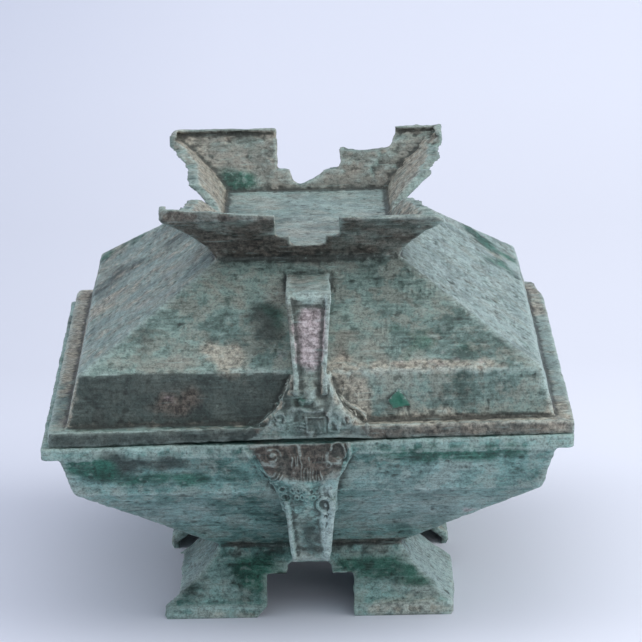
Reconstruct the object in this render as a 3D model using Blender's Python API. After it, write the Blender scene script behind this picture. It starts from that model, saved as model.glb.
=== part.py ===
"""Bronze fu: a rectangular food vessel and its lid, two near-twin hollow castings.

Metres, +Z up, origin under the middle of the feet, long axis along Y. Each casting is modelled
by its depth from the joint plane, so the lid is the vessel turned over, with its own breaks.
"""
import math

import bmesh
import bpy
from mathutils import Vector

# Driving dimensions of both castings
RIM_HALF_WIDTH = 0.115
RIM_HALF_LENGTH = 0.1475
RIM_THICKNESS = 0.0058
RIM_REACH = 0.008
VESSEL_SHORT_REACH = 0.0005
BAND_HEIGHT = 0.0203
BAND_LEAN = 0.0051
SLOPE_HEIGHT = 0.0388
BASE_HALF_WIDTH = 0.0406
BASE_HALF_LENGTH = 0.0775
RING_HEIGHT = 0.0274
RING_FLARE = 0.0239
RING_LIP = 0.0052
WALL = 0.0031
RING_WALL = 0.0034
RIM_CORNER = 0.0026
HIP_CORNER = 0.0012

# How the two castings meet
JOINT_GAP = 0.0003
LID_INSET = 0.0015
LID_SHIFT = 0.0015
RIM_SAG = 0.0026

# Stepped notches of the ring, as half widths and as depths from the base plane
FOOT_NOTCH_SHORT = 0.0194
FOOT_SLOT_SHORT = 0.0096
FOOT_NOTCH_LONG = 0.0195
FOOT_SLOT_LONG = 0.0115
FOOT_NOTCH_DEPTH = 0.0114
FOOT_SLOT_DEPTH = 0.0078
CROWN_NOTCH_SHORT = 0.0140
CROWN_SLOT_SHORT = 0.0080
CROWN_NOTCH_DEPTH = 0.0118
CROWN_SLOT_DEPTH = 0.0070

# Beast-mask ear handles at the short sides
STRAP_THICKNESS = 0.0052
STRAP_RIDGE = 0.0017
STRAP_CHANNEL = 0.0018
STRAP_CHANNEL_END = 0.0003
STRAP_END_INSET = 0.0180
STRAP_BELOW_BASE = 0.0050
STRAP_BEND = 0.0055
STRAP_OVERLAP = 0.0060
MASK_RELIEF = 0.0026
MASK_BULGE = 0.0030
MASK_PROUD = 0.0012
MASK_NECK_THICKNESS = 0.0075
CURL_ASIDE = 0.0145
CURL_RADIUS = 0.0036
VESSEL_STRAP_SHIFT = 0.0007
VESSEL_STRAP_AT_MASK = 0.0228
VESSEL_STRAP_AT_BEND = 0.0164
VESSEL_MASK_SHIFT = -0.0040
VESSEL_MASK_HEIGHT = 0.0345
VESSEL_MASK_HALF = 0.0230
VESSEL_NECK_HALF = 0.0120
VESSEL_CURL_DEPTH = 0.0062
LID_STRAP_AT_MASK = 0.0142
LID_STRAP_AT_BEND = 0.0197
LID_MASK_HEIGHT = 0.0250
LID_MASK_HALF = 0.0262
LID_NECK_HALF = 0.0095
LID_CURL_DEPTH = 0.0088

# Fineness of the faceted surfaces
CORNER_STEPS = 2
SIDE_STEPS = (4, 6)
FLARE_STEPS = 6
MASK_STEPS = (22, 15)
BEND_STEPS = 4

# A cut or a joined piece passes this far through the wall that it meets
PASS = 0.0015

# Depths from the joint plane, worked out from the sizes above
CREASE_DEPTH = RIM_THICKNESS + BAND_HEIGHT
BASE_DEPTH = CREASE_DEPTH + SLOPE_HEIGHT
RING_DEPTH = BASE_DEPTH + RING_HEIGHT
JOINT_HEIGHT = RING_DEPTH + JOINT_GAP / 2


def clear_scene():
    """Remove the objects that a new file starts with."""
    for obj in list(bpy.data.objects):
        bpy.data.objects.remove(obj, do_unlink=True)


def bronze(name, colour, roughness):
    """Corroded bronze as a plain Principled material."""
    material = bpy.data.materials.new(name)
    material.use_nodes = True
    shader = material.node_tree.nodes["Principled BSDF"]
    shader.inputs["Base Color"].default_value = (*colour, 1.0)
    shader.inputs["Roughness"].default_value = roughness
    shader.inputs["Metallic"].default_value = 0.15
    material.diffuse_color = (*colour, 1.0)
    return material


def make_object(name, mesh_builder):
    """Link a new object whose mesh is what the bmesh holds."""
    mesh = bpy.data.meshes.new(name)
    bmesh.ops.recalc_face_normals(mesh_builder, faces=mesh_builder.faces)
    mesh_builder.to_mesh(mesh)
    mesh_builder.free()
    obj = bpy.data.objects.new(name, mesh)
    bpy.context.collection.objects.link(obj)
    return obj


def rounded_rectangle(half_width, half_length, depth, corner):
    """Points round a rectangle with round corners, at one depth."""
    corner = min(corner, 0.4 * half_width, 0.4 * half_length)
    points = []
    for quarter in range(4):
        angle = quarter * math.pi / 2
        sign_x = (1, -1, -1, 1)[quarter]
        sign_y = (1, 1, -1, -1)[quarter]
        centre = Vector((sign_x * (half_width - corner), sign_y * (half_length - corner), depth))
        for step in range(CORNER_STEPS + 1):
            turn = angle + step / CORNER_STEPS * math.pi / 2
            points.append(centre + corner * Vector((math.cos(turn), math.sin(turn), 0)))
        pieces = SIDE_STEPS[quarter % 2]
        start = points[-1]
        next_x = (-1, -1, 1, 1)[quarter]
        next_y = (1, -1, -1, 1)[quarter]
        if quarter % 2 == 0:
            end = Vector((next_x * (half_width - corner), start.y, depth))
        else:
            end = Vector((start.x, next_y * (half_length - corner), depth))
        for step in range(1, pieces):
            points.append(start.lerp(end, step / pieces))
    return points


def flare_points():
    """Concave flare of the ring as outward offset and depth past the base, up to its lip."""
    rise = RING_HEIGHT - RING_LIP
    points = []
    for step in range(FLARE_STEPS + 1):
        part = step / FLARE_STEPS
        points.append((RING_FLARE * part ** 1.4, rise * part))
    return points


def inner_flare_points():
    """The flare moved inwards by the ring's wall, square to the surface."""
    outer = flare_points()
    inner = []
    for index, (offset, depth) in enumerate(outer):
        before = outer[max(index - 1, 0)]
        after = outer[min(index + 1, len(outer) - 1)]
        along = Vector((after[0] - before[0], after[1] - before[1])).normalized()
        inner.append((offset - along.y * RING_WALL, depth + along.x * RING_WALL))
    ring_top = RING_HEIGHT - 0.35 * RING_LIP
    return [(offset, min(depth, ring_top)) for offset, depth in inner]


def casting_levels(half_width, half_length, short_ledge):
    """Rings of the casting's outside, from the mouth over the ring's lip to the underside of the floor."""
    wall_width = half_width - RIM_REACH
    wall_length = half_length - short_ledge
    crease_width = wall_width - BAND_LEAN
    crease_length = half_length - RIM_REACH - BAND_LEAN
    levels = [
        (half_width, half_length, 0.0, RIM_CORNER),
        (half_width, half_length, RIM_THICKNESS, RIM_CORNER),
        (wall_width, wall_length, RIM_THICKNESS, HIP_CORNER),
        (crease_width, crease_length, CREASE_DEPTH, HIP_CORNER),
    ]
    for offset, depth in flare_points():
        levels.append((BASE_HALF_WIDTH + offset, BASE_HALF_LENGTH + offset, BASE_DEPTH + depth, HIP_CORNER))
    lip_width = BASE_HALF_WIDTH + RING_FLARE
    lip_length = BASE_HALF_LENGTH + RING_FLARE
    levels.append((lip_width, lip_length, RING_DEPTH, HIP_CORNER))
    levels.append((lip_width - RING_WALL, lip_length - RING_WALL, RING_DEPTH, HIP_CORNER))
    for offset, depth in reversed(inner_flare_points()):
        levels.append((BASE_HALF_WIDTH + offset, BASE_HALF_LENGTH + offset, BASE_DEPTH + depth, HIP_CORNER))
    return levels


def cavity_levels(half_width, half_length):
    """Rings of the empty inside, from the floor to the mouth."""
    mouth_width = half_width - RIM_REACH - WALL
    mouth_length = half_length - RIM_REACH - WALL
    floor_width = BASE_HALF_WIDTH - 0.3 * WALL
    floor_length = BASE_HALF_LENGTH - 0.3 * WALL
    return [
        (floor_width, floor_length, BASE_DEPTH - WALL, HIP_CORNER),
        (mouth_width - BAND_LEAN, mouth_length - BAND_LEAN, CREASE_DEPTH - 0.5 * WALL, HIP_CORNER),
        (mouth_width, mouth_length, RIM_THICKNESS, HIP_CORNER),
        (mouth_width, mouth_length, 0.0, HIP_CORNER),
    ]


def casting_body(name, half_width, half_length, short_ledge):
    """The hollow casting with its ring, open at the joint plane, as one closed skin."""
    builder = bmesh.new()
    outer = casting_levels(half_width, half_length, short_ledge)
    inner = cavity_levels(half_width, half_length)
    rings = []
    for level in outer + inner:
        rings.append([builder.verts.new(point) for point in rounded_rectangle(*level)])
    count = len(rings[0])
    floor_break = len(outer) - 1
    for index in range(len(rings)):
        if index == floor_break:
            continue
        ring = rings[index]
        following = rings[(index + 1) % len(rings)]
        for corner in range(count):
            other = (corner + 1) % count
            builder.faces.new((ring[corner], ring[other], following[other], following[corner]))
    builder.faces.new(rings[floor_break])
    builder.faces.new(rings[floor_break + 1])
    return make_object(name, builder)


def cutter(name, outline, low, high, along_x):
    """A closed prism to cut with: an outline in (sideways, depth), run along X or along Y."""
    builder = bmesh.new()
    ends = []
    for far in (low, high):
        ring = []
        for side, depth in outline:
            point = (far, side, depth) if along_x else (side, far, depth)
            ring.append(builder.verts.new(point))
        ends.append(ring)
    count = len(outline)
    for index in range(count):
        other = (index + 1) % count
        builder.faces.new((ends[0][index], ends[0][other], ends[1][other], ends[1][index]))
    builder.faces.new(ends[0])
    builder.faces.new(ends[1])
    return make_object(name, builder)


def stepped_notch(notch, slot, notch_depth, slot_depth):
    """Outline of a wide notch with a narrower slot at its root, running out past the lip."""
    past = RING_DEPTH + 4 * PASS
    return [
        (-notch, past), (-notch, BASE_DEPTH + notch_depth),
        (-slot, BASE_DEPTH + notch_depth), (-slot, BASE_DEPTH + slot_depth),
        (slot, BASE_DEPTH + slot_depth), (slot, BASE_DEPTH + notch_depth),
        (notch, BASE_DEPTH + notch_depth), (notch, past),
    ]


def broken_edge(points):
    """Outline of what is lost above a broken edge, given as shares of the ring from (side, depth)."""
    past = RING_DEPTH + 4 * PASS
    outline = [(side, BASE_DEPTH + depth * RING_HEIGHT) for side, depth in points]
    return [(outline[0][0], past)] + outline + [(outline[-1][0], past)]


def ring_ranges():
    """Where the short and the long walls of the ring lie, from inside to past the lip."""
    inside = 3 * RING_WALL
    short_wall = (BASE_HALF_LENGTH - inside, BASE_HALF_LENGTH + RING_FLARE + 2 * PASS)
    long_wall = (BASE_HALF_WIDTH - inside, BASE_HALF_WIDTH + RING_FLARE + 2 * PASS)
    return short_wall, long_wall


def foot_cutters():
    """Four stepped notches that leave the vessel's corner feet, and what the near-left foot lost."""
    short_wall, long_wall = ring_ranges()
    short = stepped_notch(FOOT_NOTCH_SHORT, FOOT_SLOT_SHORT, FOOT_NOTCH_DEPTH, FOOT_SLOT_DEPTH)
    long = stepped_notch(FOOT_NOTCH_LONG, FOOT_SLOT_LONG, FOOT_NOTCH_DEPTH, FOOT_SLOT_DEPTH)
    cutters = []
    for side in (-1, 1):
        cutters.append(cutter("foot_short", short, side * short_wall[0], side * short_wall[1], False))
        cutters.append(cutter("foot_long", long, side * long_wall[0], side * long_wall[1], True))
    lip_y = BASE_HALF_LENGTH + RING_FLARE
    lost_lip = broken_edge([
        (0.0055 - lip_y, 0.80), (0.0085 - lip_y, 0.69), (-0.070, 0.66), (-0.048, 0.69),
        (-0.033, 0.66), (PASS - FOOT_NOTCH_LONG, 0.70),
    ])
    worn_corner = broken_edge([
        (-0.0042 - FOOT_NOTCH_SHORT, 0.99), (-0.0030 - FOOT_NOTCH_SHORT, 0.93),
        (-0.0012 - FOOT_NOTCH_SHORT, 0.87), (PASS - FOOT_NOTCH_SHORT, 0.79),
    ])
    cutters.append(cutter("lost_lip", lost_lip, -long_wall[0], -long_wall[1], True))
    cutters.append(cutter("worn_corner", worn_corner, -short_wall[0], -short_wall[1], False))
    return cutters


def crown_cutters():
    """Notches of the lid's crown and the stretches of its walls that are broken away."""
    short_wall, long_wall = ring_ranges()
    lip_x = BASE_HALF_WIDTH + RING_FLARE
    lip_y = BASE_HALF_LENGTH + RING_FLARE
    slot = CROWN_SLOT_SHORT
    notch = CROWN_NOTCH_SHORT
    near_notch = stepped_notch(notch, slot, CROWN_NOTCH_DEPTH, CROWN_SLOT_DEPTH)
    near_right = broken_edge([
        (notch - PASS, 0.84), (0.030, 0.81), (0.046, 0.83), (lip_x - 0.0075, 0.80),
        (lip_x - 0.0035, 0.68), (lip_x + PASS, 0.62),
    ])
    near_left = broken_edge([
        (0.0060 - lip_x, 0.99), (-0.040, 0.95), (-0.028, 0.90), (PASS - notch, 0.87),
    ])
    far_notch = broken_edge([
        (-notch, 0.40), (-slot, 0.37), (-0.0063, 0.20), (-0.0030, 0.15), (0.0040, 0.25),
        (0.0090, 0.35), (0.0160, 0.39), (0.0164, 0.66), (0.028, 0.63), (0.0400, 0.66),
        (0.0407, 0.72), (0.0426, 0.88),
    ])
    left = broken_edge([
        (0.0105 - lip_y, 0.70), (-0.070, 0.67), (-0.050, 0.63), (-0.025, 0.58),
        (-0.012, 0.54), (-0.008, 0.50), (-0.005, 0.35), (0.002, 0.22), (0.008, 0.23),
        (0.017, 0.34), (0.021, 0.45), (0.022, 0.57), (0.045, 0.60), (0.068, 0.62),
        (0.072, 0.74), (lip_y - 0.0185, 0.78),
    ])
    right = broken_edge([
        (0.0115 - lip_y, 0.66), (-0.075, 0.64), (-0.047, 0.57), (-0.033, 0.52), (-0.019, 0.50),
        (-0.006, 0.43), (0.003, 0.40), (0.008, 0.20), (0.016, 0.18), (0.020, 0.40),
        (0.025, 0.57), (0.028, 0.67), (0.040, 0.64), (0.048, 0.78), (lip_y - 0.0215, 0.80),
    ])
    middle = 0.5 * (short_wall[0] + short_wall[1])
    return [
        cutter("near_notch", near_notch, -short_wall[0], -short_wall[1], False),
        cutter("near_left_break", near_left, -middle, -short_wall[1], False),
        cutter("near_right_break", near_right, -middle, -short_wall[1], False),
        cutter("far_break", far_notch, short_wall[0], short_wall[1], False),
        cutter("left_break", left, -long_wall[0], -long_wall[1], True),
        cutter("right_break", right, long_wall[0], long_wall[1], True),
    ]


def strap_front(depth):
    """How far the strap's front lies inside the rim's edge: upright by the mask, then leaning back."""
    end = BASE_DEPTH - STRAP_BELOW_BASE
    start = 0.6 * CREASE_DEPTH
    part = max(0.0, (depth - start) / (end - start))
    return STRAP_END_INSET * part ** 1.15


def strap_width(depth, at_mask, at_bend):
    """The strap's width changes evenly from where it springs from the mask to its bend."""
    end = BASE_DEPTH - STRAP_BELOW_BASE
    part = (depth - CREASE_DEPTH) / (end - CREASE_DEPTH)
    part = min(1.0, max(0.0, part))
    return at_mask + (at_bend - at_mask) * part


def strap_stations(half_length, mask_height, at_mask, at_bend):
    """Outer point, inner point, width and channel depth along the strap, as insets and depths."""
    end = BASE_DEPTH - STRAP_BELOW_BASE
    run = half_length - RIM_REACH - BAND_LEAN - BASE_HALF_LENGTH
    slope_at = RIM_REACH + BAND_LEAN + run * (end - CREASE_DEPTH) / SLOPE_HEIGHT
    start = mask_height - STRAP_OVERLAP
    straight_end = end - STRAP_BEND
    stations = []
    for step in range(6):
        depth = start + (straight_end - start) * step / 5
        inset = strap_front(depth)
        width = strap_width(depth, at_mask, at_bend)
        stations.append(((inset, depth), (inset + STRAP_THICKNESS, depth), width, STRAP_CHANNEL))
    bend_at = strap_front(straight_end)
    for step in range(1, BEND_STEPS + 1):
        turn = step / BEND_STEPS * math.pi / 2
        outer = (bend_at + STRAP_BEND * (1 - math.cos(turn)), straight_end + STRAP_BEND * math.sin(turn))
        inner_bend = STRAP_BEND - STRAP_THICKNESS
        inner = (bend_at + STRAP_THICKNESS + 0.3 * STRAP_BEND * (1 - math.cos(turn)),
                 straight_end + inner_bend * math.sin(turn))
        channel = STRAP_CHANNEL + (STRAP_CHANNEL_END - STRAP_CHANNEL) * step / BEND_STEPS
        stations.append((outer, inner, at_bend, channel))
    root_inner = slope_at - STRAP_THICKNESS * run / SLOPE_HEIGHT
    root_outer = (slope_at + PASS, end)
    root = (root_inner + PASS, end - STRAP_THICKNESS)
    stations.append((root_outer, root, 0.92 * at_bend, STRAP_CHANNEL_END))
    return stations


def strap(name, half_length, side, shift, mask_height, at_mask, at_bend):
    """Strap that leaves the mask as a channel, bends and runs back flat to the slope."""
    builder = bmesh.new()
    sections = []
    for outer, inner, width, channel in strap_stations(half_length, mask_height, at_mask, at_bend):
        half = width / 2
        ridge = STRAP_RIDGE
        part = channel / STRAP_THICKNESS
        sunk = (outer[0] + (inner[0] - outer[0]) * part, outer[1] + (inner[1] - outer[1]) * part)
        profile = [
            (-half, inner), (-half, outer), (ridge - half, outer), (1.25 * ridge - half, sunk),
            (half - 1.25 * ridge, sunk), (half - ridge, outer), (half, outer), (half, inner),
        ]
        section = []
        for across, (inset, depth) in profile:
            section.append(builder.verts.new((shift + across, side * (half_length - inset), depth)))
        sections.append(section)
    for first, second in zip(sections, sections[1:]):
        for index in range(8):
            other = (index + 1) % 8
            builder.faces.new((first[index], first[other], second[other], second[index]))
    builder.faces.new(sections[0])
    builder.faces.new(sections[-1])
    return make_object(name, builder)


def mask_half_width(part, mouth_half, neck_half, end_half):
    """Half width of the mask: ears spread at the rim, a waist, the neck, then in to the strap."""
    spread = (1 - part) ** 1.8
    ears = 0.0018 * math.sin(math.pi * min(1.0, part * 2.2)) if part < 0.45 else 0.0
    taper = max(0.0, (part - 0.68) / 0.32) ** 1.5
    neck = neck_half + (end_half - neck_half) * taper
    return neck + (mouth_half - neck_half) * spread + ears


def mask_relief(across, part, half_width, height, curl_depth):
    """Raised carving of the beast's face: curled ears, fluted mane, brow and a ridged snout."""
    x = abs(across) * half_width
    depth = part * height
    aside = min(CURL_ASIDE, 0.72 * half_width)
    radius = math.hypot(x - aside, depth - curl_depth)
    near_curl = 1.0 if part < 0.5 else 0.0
    ring = near_curl * math.exp(-((radius - CURL_RADIUS) / 0.0012) ** 2)
    boss = near_curl * math.exp(-(radius / 0.0013) ** 2)
    snout = math.exp(-(x / 0.0026) ** 2) * (0.3 + 0.7 * part)
    flute = 0.5 * (0.5 + 0.5 * math.cos(2 * math.pi * x / 0.0042)) * (1 - abs(across)) * (1 - part)
    brow = 0.6 * math.exp(-((part - 0.60 + 0.20 * abs(across)) / 0.08) ** 2)
    edge = min(1.0, (1 - abs(across)) / 0.10)
    fade = min(1.0, (1 - part) / 0.2)
    return edge * fade * min(1.2, ring + boss + snout + flute + brow)


def mask(name, half_length, side, height, halves, curl_depth, shifts):
    """Beast mask as a closed solid: a carved front over a back sunk in the band.

    The halves are its half widths at the rim, the neck and the strap; the shifts are how far
    it stands aside at the rim and at the strap.
    """
    columns, rows = MASK_STEPS
    builder = bmesh.new()
    front = []
    backs = []
    for row in range(rows + 1):
        part = row / rows
        depth = 2 * JOINT_GAP + part * height
        half = mask_half_width(part, *halves)
        centre = shifts[0] * (1 - part) + shifts[1] * part
        bulge = MASK_BULGE * math.sin(math.pi * min(1.0, 0.12 + part))
        line = []
        for column in range(columns + 1):
            across = 2 * column / columns - 1
            raised = MASK_RELIEF * mask_relief(across, part, half, height, curl_depth)
            rounding = 0.0035 * abs(across) ** 3
            inset = strap_front(depth) + MASK_RELIEF + rounding - bulge - raised
            inset = max(inset, -MASK_PROUD)
            line.append(builder.verts.new((centre + across * half, side * (half_length - inset), depth)))
        front.append(line)
        free = min(1.0, max(0.0, (depth - CREASE_DEPTH + 0.003) / 0.005))
        sunk = RIM_REACH + BAND_LEAN * min(1.0, depth / CREASE_DEPTH) + PASS
        back_inset = (1 - free) * sunk + free * (strap_front(depth) + MASK_NECK_THICKNESS)
        left = builder.verts.new((centre - half, side * (half_length - back_inset), depth))
        right = builder.verts.new((centre + half, side * (half_length - back_inset), depth))
        backs.append((left, right))
    for row in range(rows):
        for column in range(columns):
            builder.faces.new((front[row][column], front[row][column + 1],
                               front[row + 1][column + 1], front[row + 1][column]))
        builder.faces.new((backs[row][0], backs[row][1], backs[row + 1][1], backs[row + 1][0]))
        builder.faces.new((front[row][0], backs[row][0], backs[row + 1][0], front[row + 1][0]))
        builder.faces.new((front[row][-1], backs[row][1], backs[row + 1][1], front[row + 1][-1]))
    builder.faces.new([*front[0], backs[0][1], backs[0][0]])
    builder.faces.new([*front[-1], backs[-1][1], backs[-1][0]])
    return make_object(name, builder)


def apply_boolean(obj, others, operation):
    """Cut other objects from this one, or join them to it, and remove them."""
    for other in others:
        other.hide_render = True
        other.display_type = "WIRE"
        modifier = obj.modifiers.new(operation.title(), "BOOLEAN")
        modifier.operation = operation
        modifier.solver = "EXACT"
        modifier.object = other
    bpy.context.view_layer.update()
    shaped = obj.evaluated_get(bpy.context.evaluated_depsgraph_get())
    mesh = bpy.data.meshes.new_from_object(shaped)
    obj.modifiers.clear()
    obj.data = mesh
    for other in others:
        bpy.data.objects.remove(other, do_unlink=True)


def place(obj, downwards, shift):
    """Turn depths into heights, let the near-left rim corner sag and triangulate."""
    builder = bmesh.new()
    builder.from_mesh(obj.data)
    bmesh.ops.remove_doubles(builder, verts=builder.verts, dist=0.000005)
    bmesh.ops.triangulate(builder, faces=builder.faces)
    way = -1 if downwards else 1
    for vertex in builder.verts:
        depth = vertex.co.z
        fade = max(0.0, 1 - depth / CREASE_DEPTH)
        towards_left = 0.5 * (1 - vertex.co.x / RIM_HALF_WIDTH)
        towards_near = 0.5 * (1 - vertex.co.y / RIM_HALF_LENGTH)
        sag = RIM_SAG * fade * towards_left * towards_near
        vertex.co.x += shift
        vertex.co.z = JOINT_HEIGHT + way * (depth + JOINT_GAP / 2) - sag
    if downwards:
        bmesh.ops.reverse_faces(builder, faces=builder.faces)
    builder.to_mesh(obj.data)
    builder.free()


def casting(name, body, cutters, handles, downwards, shift, material):
    """One whole casting: body, cut ring, masks and straps, put at its place."""
    apply_boolean(body, cutters, "DIFFERENCE")
    apply_boolean(body, handles, "UNION")
    place(body, downwards, shift)
    body.name = name
    body.data.materials.clear()
    body.data.materials.append(material)
    body.data.shade_smooth()
    body.data.set_sharp_from_angle(angle=math.radians(28))


def handle_pair(half_length, near_shifts, mask_height, mask_halves, curl_depth, strap_widths):
    """Straps and masks of both short sides; the near ones stand a little aside."""
    pieces = []
    for side, shifts in ((-1, near_shifts), (1, (0.0, 0.0))):
        halves = (*mask_halves, 0.5 * strap_widths[0] + PASS / 2)
        pieces.append(mask("mask", half_length, side, mask_height, halves, curl_depth, shifts))
        pieces.append(strap("strap", half_length, side, shifts[1], mask_height, *strap_widths))
    return pieces


def vessel():
    """The lower casting: its band runs on almost straight from the rim's edge on the short sides."""
    material = bronze("vessel_patina", (0.20, 0.31, 0.28), 0.72)
    body = casting_body("vessel", RIM_HALF_WIDTH, RIM_HALF_LENGTH, VESSEL_SHORT_REACH)
    handles = handle_pair(RIM_HALF_LENGTH, (VESSEL_MASK_SHIFT, VESSEL_STRAP_SHIFT), VESSEL_MASK_HEIGHT,
                          (VESSEL_MASK_HALF, VESSEL_NECK_HALF), VESSEL_CURL_DEPTH,
                          (VESSEL_STRAP_AT_MASK, VESSEL_STRAP_AT_BEND))
    casting("vessel", body, foot_cutters(), handles, True, 0.0, material)


def lid():
    """The upper casting: a ledge runs all round its rim, and its crown is broken."""
    material = bronze("lid_patina", (0.27, 0.36, 0.33), 0.75)
    half_length = RIM_HALF_LENGTH - LID_INSET
    body = casting_body("lid", RIM_HALF_WIDTH - LID_INSET, half_length, RIM_REACH)
    handles = handle_pair(half_length, (0.0, 0.0), LID_MASK_HEIGHT, (LID_MASK_HALF, LID_NECK_HALF),
                          LID_CURL_DEPTH, (LID_STRAP_AT_MASK, LID_STRAP_AT_BEND))
    casting("lid", body, crown_cutters(), handles, False, LID_SHIFT, material)


def main():
    clear_scene()
    vessel()
    lid()


main()
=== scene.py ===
"""Looks of the bronze fu: two corroded castings in fine mesh, on a pale studio floor; the patina and the
floor's colour hold some painted light and shade.

Each casting is rebuilt from its own solid as one even skin, finer than 1 mm. The worn carving of
its ear handles is added, the skin is pitted, crusted and worn by noise, and a procedural patina
colours it. Patches of crust and colour are soft ellipsoids, placed in metres.
"""
import math

import bmesh
import bpy
import numpy as np
from mathutils import Matrix, Vector


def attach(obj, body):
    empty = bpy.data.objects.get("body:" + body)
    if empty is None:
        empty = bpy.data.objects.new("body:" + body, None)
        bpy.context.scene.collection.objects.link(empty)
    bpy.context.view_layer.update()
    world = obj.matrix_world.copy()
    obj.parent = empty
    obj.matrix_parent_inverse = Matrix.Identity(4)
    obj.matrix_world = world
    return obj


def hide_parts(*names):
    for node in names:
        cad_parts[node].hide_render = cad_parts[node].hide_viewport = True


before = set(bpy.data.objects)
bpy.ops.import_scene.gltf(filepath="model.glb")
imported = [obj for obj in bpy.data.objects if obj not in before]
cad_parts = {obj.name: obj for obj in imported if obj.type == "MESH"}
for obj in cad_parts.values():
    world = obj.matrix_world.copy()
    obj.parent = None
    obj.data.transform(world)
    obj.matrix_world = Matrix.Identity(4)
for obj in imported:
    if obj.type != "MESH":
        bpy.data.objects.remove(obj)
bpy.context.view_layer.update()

# Sizes of the castings, in metres, as the solids have them
JOINT_HEIGHT = 0.09245
RIM_HALF_WIDTH = 0.115
RIM_HALF_LENGTH = 0.1475
LID_SHIFT = 0.0015
LID_INSET = 0.0015
RIM_REACH = 0.008
CREASE_DEPTH = 0.0261
BASE_DEPTH = 0.0649
BAND_LEAN = 0.0051
BASE_HALF_WIDTH = 0.0406
BASE_HALF_LENGTH = 0.0775
RING_HEIGHT = 0.0274
WALL = 0.0031
STRAP_HALF = 0.014
STRAP_FROM = 0.112

# The masks in millimetres, as the solids have them: height, half widths and shifts aside
VESSEL_MASK_HEIGHT = 34.5
VESSEL_NECK_HALF = 12.0
VESSEL_EARS_HALF = 23.0
VESSEL_EARS_SHIFT = -4.0
VESSEL_NECK_SHIFT = 0.7
LID_MASK_HEIGHT = 25.0
LID_NECK_HALF = 9.0
LID_EARS_HALF = 25.7

# Wear that changes the form
JOINT_OPENED_BELOW = 0.00140
JOINT_OPENED_ABOVE = 0.00085
FLANGE_CORNER_LOST = 0.0028
FOOT_SIDE_WORN = 0.0014
CROWN_CORNER = (-0.0592, 0.1808)
CROWN_CORNER_RADIUS = 0.0040
CHIP_THICKNESS = 0.00055
CHIP_MIDDLE = (0.040, 0.107)
CHIP_CORNERS = ((0.0352, 0.1063), (0.0374, 0.1029), (0.0447, 0.1042), (0.0398, 0.1109))

# Fineness of the visual mesh
VOXEL = 0.00085
TRIANGLE_LIMIT = 192000
NOISE_PERIOD = 32

# Camera fitted to the photograph
CAMERA_PLACE = (0.00362, -2.08599, 0.56877)
CAMERA_YAW = 0.0016311
CAMERA_PITCH = -0.2155314
CAMERA_ROLL = -0.0181383
FOCAL_PIXELS = 4641.95
FRAME_PIXELS = 642
SENSOR_WIDTH = 36.0


def smoothstep(low, high, value):
    """Ease from 0 to 1 between two limits."""
    part = np.clip((value - low) / (high - low), 0.0, 1.0)
    return part * part * (3.0 - 2.0 * part)


def lattice_noise(points, size, seed):
    """Smooth noise from -1 to 1 with features of about the given size; size may differ by axis."""
    period = NOISE_PERIOD
    table = np.random.default_rng(seed).random((period, period, period)) * 2.0 - 1.0
    scaled = points / np.asarray(size)
    cell = np.floor(scaled).astype(np.int64)
    part = scaled - cell
    part = part * part * (3.0 - 2.0 * part)
    total = np.zeros(len(points))
    for corner in range(8):
        step = np.array([corner & 1, corner >> 1 & 1, corner >> 2 & 1])
        weight = np.prod(np.where(step, part, 1.0 - part), axis=1)
        index = (cell + step) % period
        total += weight * table[index[:, 0], index[:, 1], index[:, 2]]
    return total


def layered_noise(points, size, seed, layers=3):
    """Several octaves of lattice noise, about -1 to 1."""
    size = np.asarray(size, dtype=float)
    total = np.zeros(len(points))
    strength = 1.0
    reach = 0.0
    for layer in range(layers):
        total += strength * lattice_noise(points, size / 2.03 ** layer, seed + 17 * layer)
        reach += strength
        strength *= 0.55
    return 1.35 * total / reach


def blob(points, centre, radii):
    """Soft ellipsoid: 1 at its centre, falling to 0 outside it."""
    away = (points - np.asarray(centre)) / np.asarray(radii)
    return np.exp(-1.4 * np.sum(away * away, axis=1))


def add_camera():
    """Camera at the photograph's viewing angle, a long lens on the near short side."""
    forward = Vector((math.sin(CAMERA_YAW) * math.cos(CAMERA_PITCH),
                      math.cos(CAMERA_YAW) * math.cos(CAMERA_PITCH),
                      math.sin(CAMERA_PITCH)))
    level = Vector((math.cos(CAMERA_YAW), -math.sin(CAMERA_YAW), 0.0))
    upright = level.cross(forward)
    right = math.cos(CAMERA_ROLL) * level + math.sin(CAMERA_ROLL) * upright
    up = -math.sin(CAMERA_ROLL) * level + math.cos(CAMERA_ROLL) * upright
    placing = Matrix((right, up, -forward)).transposed().to_4x4()
    placing.translation = Vector(CAMERA_PLACE)
    data = bpy.data.cameras.new("camera")
    data.sensor_width = SENSOR_WIDTH
    data.lens = FOCAL_PIXELS / FRAME_PIXELS * SENSOR_WIDTH
    data.clip_end = 50.0
    camera = bpy.data.objects.new("camera", data)
    camera.matrix_world = placing
    bpy.context.collection.objects.link(camera)
    bpy.context.scene.camera = camera


def add_area_light(name, place, target, size, power, colour):
    """Soft rectangular studio light."""
    data = bpy.data.lights.new(name, "AREA")
    data.shape = "SQUARE"
    data.size = size
    data.energy = power
    data.color = colour
    lamp = bpy.data.objects.new(name, data)
    lamp.location = place
    lamp.rotation_euler = (Vector(target) - Vector(place)).to_track_quat("-Z", "Y").to_euler()
    bpy.context.collection.objects.link(lamp)


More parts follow.
